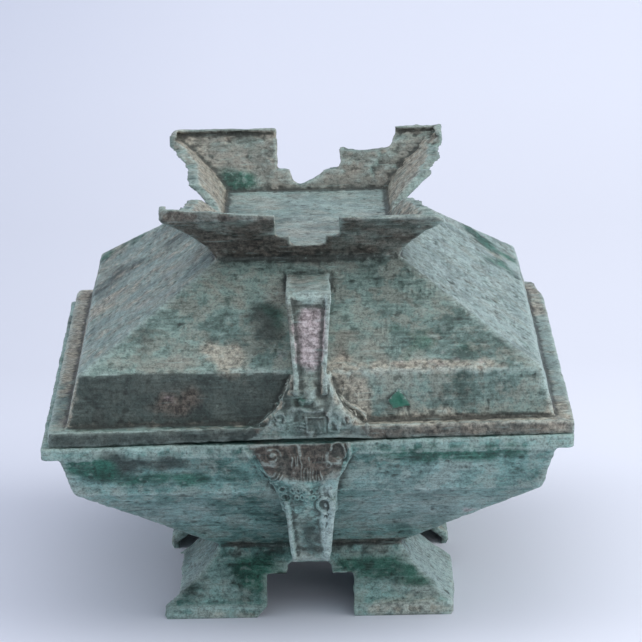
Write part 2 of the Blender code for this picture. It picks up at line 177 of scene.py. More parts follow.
def add_stage():
    """Pale floor that curves up into a backdrop, its colour painted darker toward the left and in a band
    behind the castings as falloff of the light.
    """
    builder = bmesh.new()
    half = 6.0
    bend_at = 2.6
    bend = 2.2
    profile = [(-6.0, 0.0), (-2.0, 0.0), (0.0, 0.0), (bend_at, 0.0)]
    for step in range(1, 17):
        turn = step / 16 * math.pi / 2
        profile.append((bend_at + bend * math.sin(turn), bend * (1 - math.cos(turn))))
    profile.append((bend_at + bend, 7.0))
    rows = []
    for y, z in profile:
        rows.append((builder.verts.new((-half, y, z)), builder.verts.new((half, y, z))))
    for first, second in zip(rows, rows[1:]):
        builder.faces.new((first[0], first[1], second[1], second[0]))
    mesh = bpy.data.meshes.new("studio_floor")
    builder.to_mesh(mesh)
    builder.free()
    mesh.shade_smooth()
    floor = bpy.data.objects.new("studio_floor", mesh)
    bpy.context.collection.objects.link(floor)
    nodes = NodeBuilder("studio_paper")
    place = nodes.tree.nodes.new("ShaderNodeSeparateXYZ")
    nodes.link(nodes.coordinates, place.inputs["Vector"])
    # Painted shade: the paper darkens toward the left, most about 0.45 m left of the middle, where the
    # light falls off.
    across = nodes.maths("ADD", nodes.maths("MULTIPLY", place.outputs["X"], 0.5), 0.5)
    shade = nodes.ramp(across, [(0.05, (0.68, 0.70, 0.78)), (0.28, (0.50, 0.53, 0.62)),
                                (0.47, (0.69, 0.71, 0.79)), (0.75, (0.77, 0.79, 0.86))])
    # Painted shade: the paper darkens in a band from about 0.4 to 1.3 m behind the castings.
    away = nodes.maths("ADD", nodes.maths("MULTIPLY", place.outputs["Y"], 0.4), 0.2)
    painted_falloff = nodes.ramp(away, [(0.10, 1.0), (0.24, 0.97), (0.36, 0.87), (0.52, 0.87),
                             (0.72, 0.95), (0.90, 1.0)])
    shade = nodes.mix(1.0, shade, painted_falloff, "MULTIPLY")
    nodes.link(shade, nodes.shader.inputs["Base Color"])
    nodes.shader.inputs["Roughness"].default_value = 0.75
    nodes.shader.inputs["Specular IOR Level"].default_value = 0.15
    mesh.materials.append(nodes.material)


def add_world():
    """Even pale light from all round."""
    world = bpy.data.worlds.new("studio")
    world.use_nodes = True
    background = world.node_tree.nodes["Background"]
    background.inputs["Color"].default_value = (0.78, 0.83, 0.95, 1.0)
    background.inputs["Strength"].default_value = 0.72
    bpy.context.scene.world = world


def spiral(centre, outer, inner, turns, start, hand):
    """Points of a flat spiral in (x, depth)."""
    points = []
    count = int(18 * turns)
    for step in range(count + 1):
        part = step / count
        radius = outer + (inner - outer) * part
        turn = start + hand * 2 * math.pi * turns * part
        points.append((centre[0] + radius * math.cos(turn), centre[1] + radius * math.sin(turn)))
    return points


def arc(centre, radius_x, radius_y, start, end):
    """Points of an ellipse's arc, angles in turns; half a turn up points to greater depth."""
    points = []
    for step in range(25):
        turn = 2 * math.pi * (start + (end - start) * step / 24)
        points.append((centre[0] + radius_x * math.cos(turn), centre[1] + radius_y * math.sin(turn)))
    return points


def curve(points):
    """Smooth open curve through a few points in (x, depth)."""
    padded = [points[0]] + list(points) + [points[-1]]
    drawn = []
    for index in range(len(points) - 1):
        a, b, c, d = (Vector(padded[index + k]) for k in range(4))
        for step in range(12):
            t = step / 12
            drawn.append(tuple(0.5 * ((2 * b) + (c - a) * t + (2 * a - 5 * b + 4 * c - d) * t * t
                                      + (3 * b - a - 3 * c + d) * t ** 3)))
    drawn.append(tuple(points[-1]))
    return drawn


def vessel_mask_strokes():
    """Lines of the vessel's beast mask in millimetres: path, half width, height."""
    strokes = []
    strokes.append((spiral((-14.9, 7.2), 3.7, 0.9, 1.5, 0.0, -1), 0.55, 0.9))
    strokes.append((arc((-23.8, 10.6), 1.7, 1.5, 0.0, 1.0), 0.5, 0.7))
    for nested in range(3):
        reach = 5.6 - 1.7 * nested
        strokes.append((arc((-16.0, 14.0), reach, 0.95 * reach, 0.05, 0.60), 0.42, 0.75))
    strokes.append((arc((13.2, 5.2), 3.1, 4.1, 0.0, 1.0), 0.6, 1.0))
    strokes.append((spiral((8.6, 11.6), 2.5, 0.5, 1.3, 2.4, 1), 0.45, 0.8))
    for flute in range(11):
        x = -6.6 + 1.25 * flute
        sway = 0.35 * math.sin(2.1 * flute)
        low = 18.6 - 0.5 * abs(flute - 5) * 0.5
        path = [(x, 7.5 + 0.3 * math.cos(flute)), (x + sway, 11.0), (x - sway, 14.5), (x + sway, low)]
        strokes.append((curve(path), 0.36, 0.62))
    strokes.append((curve([(17.6, 1.8), (18.4, 5.2), (17.0, 9.5), (14.2, 14.0), (12.0, 18.5)]), 0.9, 1.5))
    strokes.append((curve([(-27.5, 4.6), (-24.8, 8.2), (-21.5, 13.0), (-19.6, 18.6)]), 0.75, 1.0))
    strokes.append((curve([(-19.6, 18.6), (-16.0, 20.0), (-13.4, 20.4)]), 0.55, 0.8))
    strokes.append((curve([(6.6, 19.0), (5.6, 23.0), (6.2, 27.4)]), 0.9, 1.3))
    strokes.append((arc((6.9, 31.0), 3.2, 3.4, 0.0, 1.0), 0.75, 1.3))
    strokes.append((curve([(8.6, 22.0), (10.0, 25.5), (10.6, 29.0)]), 0.7, 0.9))
    strokes.append((curve([(-7.0, 38.6), (-3.0, 37.2), (0.5, 39.0), (4.6, 37.6)]), 0.6, 0.8))
    strokes.append((curve([(-9.6, 30.4), (-7.4, 32.6), (-4.0, 33.8), (0.0, 33.6)]), 0.6, 0.7))
    for row in range(4):
        x = -10.8 + 0.5 * row
        strokes.append((arc((x, 23.0 + 3.6 * row), 1.5, 1.4, 0.1, 0.9), 0.45, 0.7))
    for column in range(5):
        x = -6.4 + 2.5 * column
        strokes.append((arc((x, 23.6), 0.95, 1.3, 0.0, 1.0), 0.38, 0.55))
        strokes.append((arc((x + 1.1, 27.2), 0.95, 1.2, 0.0, 1.0), 0.38, 0.5))
    strokes.append((arc((-9.8, 27.0), 0.6, 0.9, 0.0, 1.0), 0.8, -1.1))
    strokes.append((arc((-9.6, 34.4), 0.7, 0.9, 0.0, 1.0), 0.8, -1.1))
    strokes.append((arc((6.9, 31.0), 0.9, 1.1, 0.0, 1.0), 0.8, -0.9))
    strokes.append((arc((7.6, 38.8), 0.5, 2.4, 0.0, 1.0), 0.8, -1.9))
    return strokes


def lid_mask_strokes():
    """Lines of the lid's beast mask in millimetres: path, half width, height."""
    strokes = []
    strokes.append((curve([(-28.2, 2.2), (-24.4, 5.6), (-20.0, 6.8), (-17.6, 8.9), (-15.9, 12.2),
                           (-11.8, 13.6), (-12.0, 17.6), (-9.4, 23.0)]), 0.8, 1.0))
    strokes.append((curve([(24.2, 2.0), (23.6, 7.0), (20.0, 10.6), (16.4, 12.4), (13.0, 15.6),
                           (12.6, 20.4), (10.2, 24.6)]), 0.9, 1.2))
    strokes.append((spiral((-13.2, 9.4), 3.4, 0.9, 1.35, 2.6, 1), 0.55, 0.9))
    strokes.append((spiral((16.4, 8.2), 3.0, 0.8, 1.35, 0.5, -1), 0.55, 0.9))
    strokes.append((curve([(8.4, 11.0), (9.2, 16.0), (7.8, 21.0), (7.6, 26.4)]), 1.3, 1.7))
    strokes.append((curve([(-4.6, 13.4), (0.4, 12.4), (5.0, 12.8)]), 0.8, 0.9))
    for x0, x1 in ((-1.6, 6.2), (8.6, 12.4)):
        frame_line = [(x0, 9.4), (x1, 9.4), (x1, 3.0), (x0, 3.0), (x0, 9.4)]
        strokes.append((frame_line, 0.42, 0.6))
    strokes.append(([(-3.1, 9.6), (-3.1, 2.6)], 0.5, -0.9))
    strokes.append(([(7.4, 9.4), (7.4, 2.6)], 0.5, -0.9))
    for row in range(3):
        strokes.append((curve([(-10.0, 6.6 - 1.6 * row), (-6.0, 7.4 - 1.6 * row),
                               (-2.2, 6.6 - 1.6 * row)]), 0.42, 0.45))
    strokes.append((arc((-2.6, 16.6), 3.6, 2.2, 0.0, 1.0), 1.2, -1.0))
    strokes.append((arc((-2.6, 16.6), 1.2, 0.7, 0.0, 1.0), 1.2, -0.7))
    strokes.append((curve([(-8.4, 19.6), (-5.6, 20.6), (-1.6, 20.4), (2.6, 20.9)]), 0.6, 0.7))
    return strokes


def mirrored(strokes):
    """The same carving with its left half drawn again on the right, for the far side."""
    both = []
    for path, width, height in strokes:
        middle = sum(x for x, _ in path) / len(path)
        if middle < 1.5:
            both.append((path, width, height))
            both.append(([(-x, depth) for x, depth in path], width, height))
    return both


def stroke_relief(across, depth, strokes):
    """Height of the carving, in metres, at places on a mask given in millimetres."""
    relief = np.zeros(len(across))
    for path, width, height in strokes:
        trail = np.array(path)
        reach = 3.0 * width
        near = ((across > trail[:, 0].min() - reach) & (across < trail[:, 0].max() + reach)
                & (depth > trail[:, 1].min() - reach) & (depth < trail[:, 1].max() + reach))
        if not near.any():
            continue
        spots = np.stack((across[near], depth[near]), axis=1)
        best = np.full(len(spots), 1e9)
        for start, end in zip(trail, trail[1:]):
            along = end - start
            part = np.clip((spots - start) @ along / max(along @ along, 1e-9), 0.0, 1.0)
            best = np.minimum(best, np.sum((spots - start - part[:, None] * along) ** 2, axis=1))
        rise = height * np.exp(-best / (width * width))
        if height > 0:
            relief[near] = np.maximum(relief[near], rise)
        else:
            relief[near] += rise
    return 0.001 * relief


def mask_zone(points, downwards):
    """True at the fronts of a casting's two masks and straps."""
    depth = casting_depth(points, downwards)
    edge = RIM_HALF_LENGTH if downwards else RIM_HALF_LENGTH - LID_INSET
    middle = 0.0 if downwards else LID_SHIFT
    wide = np.abs(points[:, 0] - middle) < np.where(depth < 0.022, 0.031, 0.0165)
    front = np.abs(points[:, 1]) > edge - 0.0105 - 0.30 * np.maximum(depth - 0.018, 0.0)
    return wide & front & (depth < 0.043)


def mask_share(points, downwards, near):
    """1 on the near mask, from its broad ears at the rim to its neck, 0 beside it."""
    depth = 1000 * casting_depth(points, downwards)
    x = 1000 * points[:, 0]
    if downwards:
        part = np.clip(depth / VESSEL_MASK_HEIGHT, 0.0, 1.0)
        centre = VESSEL_EARS_SHIFT * (1 - part) + VESSEL_NECK_SHIFT * part
        half = VESSEL_NECK_HALF + (VESSEL_EARS_HALF - VESSEL_NECK_HALF) * (1 - part) ** 1.8
    else:
        part = np.clip(depth / LID_MASK_HEIGHT, 0.0, 1.0)
        centre = 1000 * LID_SHIFT
        half = LID_NECK_HALF + (LID_EARS_HALF - LID_NECK_HALF) * (1 - part) ** 1.8
    inside = smoothstep(1.0, -1.0, np.abs(x - centre) - half)
    front = RIM_HALF_LENGTH - 0.0125 - 0.30 * np.maximum(0.001 * depth - 0.018, 0.0)
    return inside * near * (points[:, 1] < -front) * smoothstep(46.0, 40.0, depth)


def mask_carving(points, normals, downwards):
    """Carved height of both masks of a casting at every vertex."""
    depth = casting_depth(points, downwards)
    middle = 0.0 if downwards else LID_SHIFT
    strokes = vessel_mask_strokes() if downwards else lid_mask_strokes()
    relief = np.zeros(len(points))
    for side in (-1, 1):
        here = mask_zone(points, downwards) & (points[:, 1] * side > 0)
        here &= normals[:, 1] * side > 0.12
        lines = strokes if side < 0 else mirrored(strokes)
        spots = points[here]
        across = 1000 * (spots[:, 0] - middle) + 0.75 * layered_noise(spots, 0.0050, 61, 2)
        down = 1000 * depth[here] + 0.75 * layered_noise(spots, 0.0050, 62, 2)
        kept = 0.30 + 0.70 * smoothstep(-0.35, 0.25, layered_noise(spots, 0.0060, 63, 2))
        relief[here] = kept * stroke_relief(across, down, lines)
    return relief


def refine_masks(obj, downwards):
    """Halve the mesh size where the masks are carved and where the green chip sits."""
    builder = bmesh.new()
    builder.from_mesh(obj.data)
    builder.verts.ensure_lookup_table()
    points, _ = read_points(obj.data)
    inside = mask_zone(points, downwards)
    if not downwards:
        from_chip = np.abs(points[:, [0, 2]] - CHIP_MIDDLE)
        by_chip = (from_chip[:, 0] < 0.008) & (from_chip[:, 1] < 0.0075)
        inside |= by_chip & (points[:, 1] < -0.12)
    edges = [edge for edge in builder.edges if inside[edge.verts[0].index] and inside[edge.verts[1].index]]
    bmesh.ops.subdivide_edges(builder, edges=edges, cuts=1, use_grid_fill=True)
    builder.to_mesh(obj.data)
    builder.free()
    obj.data.update()


def remeshed(source, name):
    """Rebuild a casting's solid as one fine, even skin."""
    obj = bpy.data.objects.new(name, source.data.copy())
    bpy.context.collection.objects.link(obj)
    modifier = obj.modifiers.new("fuse", "REMESH")
    modifier.mode = "VOXEL"
    modifier.voxel_size = VOXEL
    bake_modifiers(obj)
    return obj


def bake_modifiers(obj):
    """Keep an object's evaluated mesh and drop its modifiers."""
    bpy.context.view_layer.update()
    shaped = obj.evaluated_get(bpy.context.evaluated_depsgraph_get())
    mesh = bpy.data.meshes.new_from_object(shaped)
    obj.modifiers.clear()
    old = obj.data
    obj.data = mesh
    bpy.data.meshes.remove(old)


def read_points(mesh):
    """Vertex places and normals as arrays."""
    count = len(mesh.vertices)
    places = np.empty(count * 3)
    normals = np.empty(count * 3)
    mesh.vertices.foreach_get("co", places)
    mesh.vertices.foreach_get("normal", normals)
    return places.reshape(-1, 3), normals.reshape(-1, 3)


def casting_depth(points, downwards):
    """Depth from the level joint plane, down in the vessel and up in the lid."""
    return (JOINT_HEIGHT - points[:, 2]) if downwards else (points[:, 2] - JOINT_HEIGHT)


def outside_share(points, downwards):
    """1 on the outside of a casting, 0 on the walls of its empty inside."""
    depth = casting_depth(points, downwards)
    middle = 0.0 if downwards else LID_SHIFT
    inset = 0.0 if downwards else LID_INSET
    part = np.clip((depth - CREASE_DEPTH) / (BASE_DEPTH - CREASE_DEPTH), 0.0, 1.0)
    lean = np.clip(depth / CREASE_DEPTH, 0.0, 1.0) * BAND_LEAN
    wide = RIM_HALF_WIDTH - inset - RIM_REACH - 0.5 * WALL - lean
    long = RIM_HALF_LENGTH - inset - RIM_REACH - 0.5 * WALL - lean
    wide = wide * (1 - part) + BASE_HALF_WIDTH * part
    long = long * (1 - part) + BASE_HALF_LENGTH * part
    inside = (np.abs(points[:, 0] - middle) < wide) & (np.abs(points[:, 1]) < long)
    inside &= depth < BASE_DEPTH - 0.5 * WALL
    return 1.0 - inside.astype(float)


def neighbour_mean(mesh, values, rounds):
    """Average values over neighbouring vertices, several times over."""
    pairs = np.empty(len(mesh.edges) * 2, dtype=np.int32)
    mesh.edges.foreach_get("vertices", pairs)
    first, second = pairs.reshape(-1, 2).T
    count = len(mesh.vertices)
    share = np.bincount(first, minlength=count) + np.bincount(second, minlength=count)
    for _ in range(rounds):
        total = np.empty_like(values)
        for axis in range(values.shape[1]):
            total[:, axis] = (np.bincount(first, values[second, axis], count)
                              + np.bincount(second, values[first, axis], count))
        values = total / np.maximum(share, 1)[:, None]
    return values


def proud_of_surroundings(mesh, points, normals, rounds):
    """How far each vertex stands out of its surroundings; negative in a hollow."""
    return np.sum((points - neighbour_mean(mesh, points, rounds)) * normals, axis=1)


def malachite_chip(points, near):
    """1 inside the bright green chip on the lid's near band, a tilted four-cornered flake."""
    corners = np.array(CHIP_CORNERS)
    inside = (points[:, 1] < -0.12) & (near > 0.3)
    for start, end in zip(corners, np.roll(corners, -1, axis=0)):
        along = end - start
        inside &= along[0] * (points[:, 2] - start[1]) - along[1] * (points[:, 0] - start[0]) > 0
    return inside.astype(float)


def weather(obj, downwards, seed):
    """Carve the masks and corrode the outside: unevenness, grain, pits, striation, crust and wear."""
    mesh = obj.data
    points, normals = read_points(mesh)
    outside = outside_share(points, downwards)
    depth = casting_depth(points, downwards)
    x, y = points[:, 0], points[:, 1]
    edge = smoothstep(0.00010, 0.00045, proud_of_surroundings(mesh, points, normals, 4))
    slow = layered_noise(points, 0.026, seed, 3)
    middle = layered_noise(points, 0.0085, seed + 1, 3)
    grain = layered_noise(points, 0.0026, seed + 2, 2)
    stripes = layered_noise(points, (0.013, 0.013, 0.0020), seed + 3, 2)
    pits = smoothstep(0.38, 0.70, layered_noise(points, 0.0034, seed + 4, 2))
    crust = smoothstep(0.05, 0.45, layered_noise(points, 0.015, seed + 5, 3))
    steep = smoothstep(0.12, 0.5, np.abs(normals[:, 1]) + np.abs(normals[:, 0]))
    carving = mask_carving(points, normals, downwards)
    aside = 0.0 if downwards else LID_SHIFT
    strap = (np.abs(x - aside) < STRAP_HALF) & (np.abs(y) > STRAP_FROM) & (depth < BASE_DEPTH)
    calm = np.where(mask_zone(points, downwards) | strap, 0.40, 1.0)
    move = 0.00025 * slow + 0.00018 * middle + 0.00012 * grain - 0.00020 * pits
    move += 0.00022 * crust * (0.4 + grain)
    move += (0.00020 if downwards else 0.00010) * stripes * steep
    move -= edge * 0.00050 * smoothstep(-0.1, 0.7, layered_noise(points, 0.006, seed + 6, 3))
    move *= calm
    ring = smoothstep(BASE_DEPTH + 0.20 * RING_HEIGHT, BASE_DEPTH + 0.5 * RING_HEIGHT, depth)
    if downwards:
        lip = smoothstep(BASE_DEPTH + 0.72 * RING_HEIGHT, BASE_DEPTH + 0.86 * RING_HEIGHT, depth)
        nodules = layered_noise(points, 0.0032, seed + 7, 2)
        move += lip * (0.0002 + 0.00035 * nodules)
        fang = smoothstep(0.030, 0.035, depth) * smoothstep(0.059, 0.055, depth) * (normals[:, 1] < -0.3)
        move += 0.0013 * fang * (y < -0.11) * np.exp(-((x - 0.0070) / 0.0019) ** 2)
        move *= 1.0 - smoothstep(BASE_DEPTH + RING_HEIGHT - 0.0010, BASE_DEPTH + RING_HEIGHT, depth)
    else:
        broken = ring * np.where((y < -0.07) & (x < 0.05), 0.25, np.where(x < -0.02, 0.55, 1.0))
        move += 0.00045 * broken * layered_noise(points, 0.0038, seed + 8, 3)
        crusted = smoothstep(0.004, 0.016, x) * smoothstep(0.074, 0.080, y)
        crusted *= smoothstep(0.066, 0.069, depth) * smoothstep(0.1, 0.5, normals[:, 2] - normals[:, 1])
        lumps = smoothstep(-0.2, 0.6, layered_noise(points, 0.0058, seed + 9, 2))
        move += crusted * (0.0002 + 0.0007 * lumps)
    move = outside * move + carving
    if not downwards:
        move += CHIP_THICKNESS * malachite_chip(points, 1 - smoothstep(-0.9, -0.4, normals[:, 1]))
    moved = points + normals * move[:, None]
    opened = smoothstep(-0.075, -0.040, x) * (1 - smoothstep(0.012, 0.034, x))
    opened *= smoothstep(-0.135, -0.142, y) * (1 - smoothstep(0.0006, 0.0022, depth))
    moved[:, 2] += (-JOINT_OPENED_BELOW if downwards else JOINT_OPENED_ABOVE) * opened
    if downwards:
        moved[:, 2] = np.maximum(moved[:, 2], 0.0)
        worn_side = smoothstep(0.052, 0.062, x) * smoothstep(-0.06, -0.09, y) * (depth > BASE_DEPTH)
        moved[:, 0] -= FOOT_SIDE_WORN * worn_side
    else:
        lost = smoothstep(0.104, 0.144, y) * smoothstep(0.1035, 0.1120, x) * (depth < 0.0075)
        moved[:, 0] -= FLANGE_CORNER_LOST * lost
        from_x = np.minimum(moved[:, 0] - CROWN_CORNER[0], 0.0)
        from_z = np.maximum(moved[:, 2] - CROWN_CORNER[1], 0.0)
        reach = np.hypot(from_x, from_z)
        worn = (reach > CROWN_CORNER_RADIUS) & (from_x < 0) & (from_z > 0) & (y > 0.085)
        shrink = np.where(worn, CROWN_CORNER_RADIUS / np.maximum(reach, 1e-6), 1.0)
        moved[:, 0] += from_x * (shrink - 1)
        moved[:, 2] += from_z * (shrink - 1)
    mesh.vertices.foreach_set("co", moved.ravel())
    mesh.update()


def thin_out(obj):
    """Drop the triangles that lie flat, until the piece is within its limit."""
    mesh = obj.data
    mesh.calc_loop_triangles()
    count = len(mesh.loop_triangles)
    if count > TRIANGLE_LIMIT:
        modifier = obj.modifiers.new("thin", "DECIMATE")
        modifier.ratio = TRIANGLE_LIMIT / count
        bake_modifiers(obj)


def write_value(mesh, name, values):
    """Store one value per vertex for the material to read."""
    attribute = mesh.attributes.new(name, "FLOAT", "POINT")
    attribute.data.foreach_set("value", values.astype(np.float32))


def ragged(points, amount, size, seed):
    """Turn a soft amount into a patch with a ragged edge."""
    broken = amount + 0.34 * layered_noise(points, size, seed, 4)
    return smoothstep(0.30, 0.66, broken)


def vessel_patches(points, normals, depth, near):
    """Soft amounts of each colour on the vessel, painted light and shade among them."""
    y = points[:, 1]
    amounts = {}
    emerald = 1.0 * blob(points, (-0.094, -0.146, 0.081), (0.016, 0.03, 0.006))
    emerald += 0.75 * blob(points, (-0.060, -0.146, 0.074), (0.050, 0.03, 0.006))
    emerald += 0.85 * blob(points, (0.066, -0.146, 0.085), (0.040, 0.03, 0.007))
    emerald += 0.45 * blob(points, (0.050, -0.11, 0.038), (0.050, 0.03, 0.008))
    emerald += 0.95 * blob(points, (-0.026, -0.088, 0.017), (0.015, 0.03, 0.009))
    emerald += 0.95 * near * blob(points, (0.028, -0.086, 0.0185), (0.030, 0.03, 0.0065))
    emerald += 0.5 * blob(points, (0.050, -0.092, 0.013), (0.016, 0.02, 0.005))
    emerald += 0.5 * blob(points, (0.115, 0.05, 0.088), (0.02, 0.05, 0.012))
    emerald += 0.5 * blob(points, (-0.05, 0.146, 0.080), (0.04, 0.03, 0.012))
    emerald += 0.5 * blob(points, (-0.06, 0.0, 0.016), (0.02, 0.05, 0.010))
    amounts["emerald"] = emerald
    brown = 1.3 * blob(points, (0.028, -0.079, 0.0282), (0.034, 0.010, 0.0024))
    brown += 0.6 * blob(points, (-0.03, -0.079, 0.0282), (0.016, 0.010, 0.0030))
    carved = mask_share(points, True, near)
    brown += 1.8 * carved * smoothstep(0.0205, 0.0140, depth)
    brown += 0.5 * blob(points, (-0.015, -0.150, 0.0915), (0.040, 0.02, 0.003))
    amounts["brown"] = brown
    low = 1 - smoothstep(0.003, 0.013, points[:, 2])
    cream = 0.85 * low * blob(points, (0.046, -0.100, 0.004), (0.030, 0.02, 0.010))
    cream += 0.55 * low * blob(points, (-0.040, -0.100, 0.001), (0.030, 0.02, 0.005))
    cream += 0.35 * low * (y > -0.08)
    amounts["cream"] = cream
    # Pale mint on the feet's side faces, stronger on the right: partly pale patina, partly painted light
    # from the lamps on the right.
    pale = 2.2 * blob(points, (0.056, -0.075, 0.014), (0.016, 0.06, 0.018)) * (normals[:, 0] > 0.25)
    pale += 1.0 * blob(points, (-0.054, -0.080, 0.014), (0.014, 0.05, 0.014)) * (normals[:, 0] < -0.25)
    pale += 1.50 * blob(points, (0.0085, -0.140, 0.048), (0.0040, 0.03, 0.026))
    pale += 0.55 * blob(points, (-0.0085, -0.140, 0.045), (0.0022, 0.03, 0.018))
    # Pale on the band's right, on both slopes and on the feet's fronts: partly paler patina, partly painted
    # light from below and from the right.
    pale += 0.30 * blob(points, (0.055, -0.140, 0.070), (0.040, 0.05, 0.014))
    pale += 0.60 * blob(points, (0.055, -0.11, 0.050), (0.045, 0.05, 0.014))
    pale += 0.45 * near * blob(points, (-0.055, -0.11, 0.052), (0.045, 0.05, 0.012))
    pale += 0.35 * near * blob(points, (-0.040, -0.10, 0.012), (0.024, 0.03, 0.010))
    pale += 0.45 * near * blob(points, (0.046, -0.10, 0.014), (0.026, 0.03, 0.010))
    amounts["pale"] = pale
    dark = 0.45 * blob(points, (-0.046, -0.097, 0.012), (0.022, 0.03, 0.008))
    # Painted shade: the left half of the band is darker.
    dark += 0.55 * blob(points, (-0.070, -0.146, 0.082), (0.050, 0.03, 0.010))
    dark += 0.62 * blob(points, (0.0, -0.136, 0.050), (0.007, 0.03, 0.024))
    # Dark just under the joint on the near mask's top: brown crust together with painted shade under the
    # lid's overhang.
    under_joint = smoothstep(0.0075, 0.0030, depth) * smoothstep(0.014, 0.004, np.abs(points[:, 0] + 0.009))
    dark += 1.2 * carved * under_joint
    dark += 0.50 * carved * smoothstep(0.0205, 0.0140, depth)
    dark += 0.35 * blob(points, (-0.090, -0.140, 0.075), (0.020, 0.03, 0.010))
    dark += 0.45 * blob(points, (0.092, -0.146, 0.074), (0.018, 0.03, 0.009))
    dark += 0.30 * near * blob(points, (-0.030, -0.10, 0.040), (0.030, 0.03, 0.008))
    amounts["dark"] = dark
    amounts["rose"] = 0.45 * blob(points, (0.070, -0.12, 0.050), (0.030, 0.03, 0.004))
    return amounts


